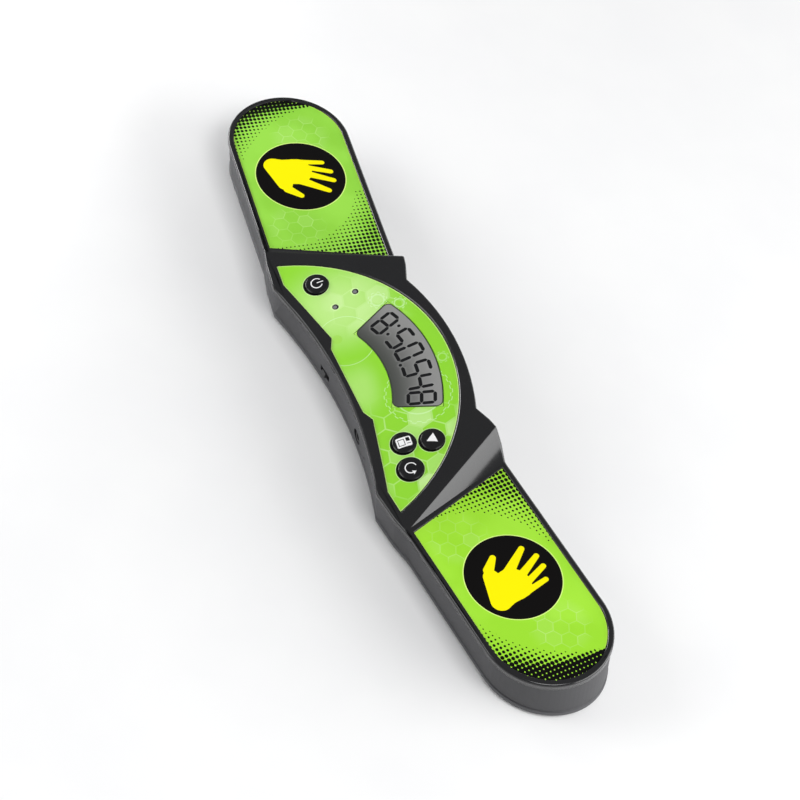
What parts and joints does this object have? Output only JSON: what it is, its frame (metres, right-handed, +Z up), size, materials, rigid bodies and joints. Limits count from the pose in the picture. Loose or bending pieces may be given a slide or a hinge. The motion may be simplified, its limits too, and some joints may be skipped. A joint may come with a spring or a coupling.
{
  "type": "speed cube timer",
  "caption": "Hand timer with two touch pads on swept arms, a raised tilted centre panel with a curved display window, round push buttons and a battery bay.",
  "frame": {"origin": "centre of the footprint on the surface it stands on", "axes": "+X along the length to the user's right, +Y away from the user, +Z up"},
  "size_m": [0.288, 0.0655, 0.038],
  "materials": {
    "black_gloss": "glossy",
    "grey_wall": "satin",
    "grey_base": "satin",
    "left_print": "printed film, satin gloss",
    "right_print": "printed film, satin gloss",
    "panel_print": "printed film, satin gloss",
    "sensor_metal": "flat sheet",
    "display_window": "clear",
    "display_glass": "reflective display",
    "white_plastic": "matte",
    "contact_rubber": "matte",
    "button_black": "glossy",
    "switch_black": "matte",
    "board_green": "solder mask",
    "led_body": "clear cast",
    "light_clear": "clear",
    "steel": "bright",
    "contact_metal": "plated",
    "cell_wrap": "glossy wrap",
    "speaker_black": "matte",
    "foam": "foam",
    "foot_rubber": "matte",
    "lead_red": "insulated wire"
  },
  "bodies": {
    "case": {"bezel_shell": "black_gloss", "side_housing": "grey_wall", "bottom_cover": "grey_base", "left_pad_film": "left_print", "right_pad_film": "right_print", "left_sensor_plate": "sensor_metal", "right_sensor_plate": "sensor_metal", "panel_film": "panel_print", "lcd_window": "display_window", "lcd_glass": "display_glass", "lcd_spacer": "white_plastic", "lcd_connector": "contact_rubber", "tact_switches": "switch_black", "main_board": "board_green", "control_chip": "switch_black", "status_leds": "led_body", "light_pipes": "light_clear", "board_screws": "steel", "io_board": "board_green", "data_jack": "switch_black", "slide_switch": "steel", "battery_cells": "cell_wrap", "battery_contacts": "contact_metal", "speaker": "speaker_black", "speaker_gasket": "foam", "case_screws": "steel", "rubber_feet": "foot_rubber", "lead_wires": "lead_red"},
    "power_key": {"power_button": "button_black"},
    "mode_key": {"mode_button": "button_black"},
    "step_key": {"step_button": "button_black"},
    "reset_key": {"reset_button": "button_black"},
    "sound_knob": {"switch_knob": "switch_black"},
    "bay_door": {"battery_door": "grey_base", "door_screw": "steel"}
  },
  "joints": [
    {"name": "power_press", "type": "slide", "parent": "case", "child": "power_key", "axis": [0, 0.3668, -0.9303], "range_m": [0, 0.0006], "stiffness_N_per_m": 900, "springref_m": -0.0008},
    {"name": "mode_press", "type": "slide", "parent": "case", "child": "mode_key", "axis": [0, 0.3668, -0.9303], "range_m": [0, 0.0006], "stiffness_N_per_m": 900, "springref_m": -0.0008},
    {"name": "step_press", "type": "slide", "parent": "case", "child": "step_key", "axis": [0, 0.3668, -0.9303], "range_m": [0, 0.0006], "stiffness_N_per_m": 900, "springref_m": -0.0008},
    {"name": "reset_press", "type": "slide", "parent": "case", "child": "reset_key", "axis": [0, 0.3668, -0.9303], "range_m": [0, 0.0006], "stiffness_N_per_m": 900, "springref_m": -0.0008},
    {"name": "sound_slide", "type": "slide", "parent": "case", "child": "sound_knob", "axis": [1, 0, 0], "range_m": [-0.0015, 0.0015]},
    {"name": "door_lift", "type": "slide", "parent": "case", "child": "bay_door", "axis": [0, 0, -1], "range_m": [0, 0.02]}
  ]
}
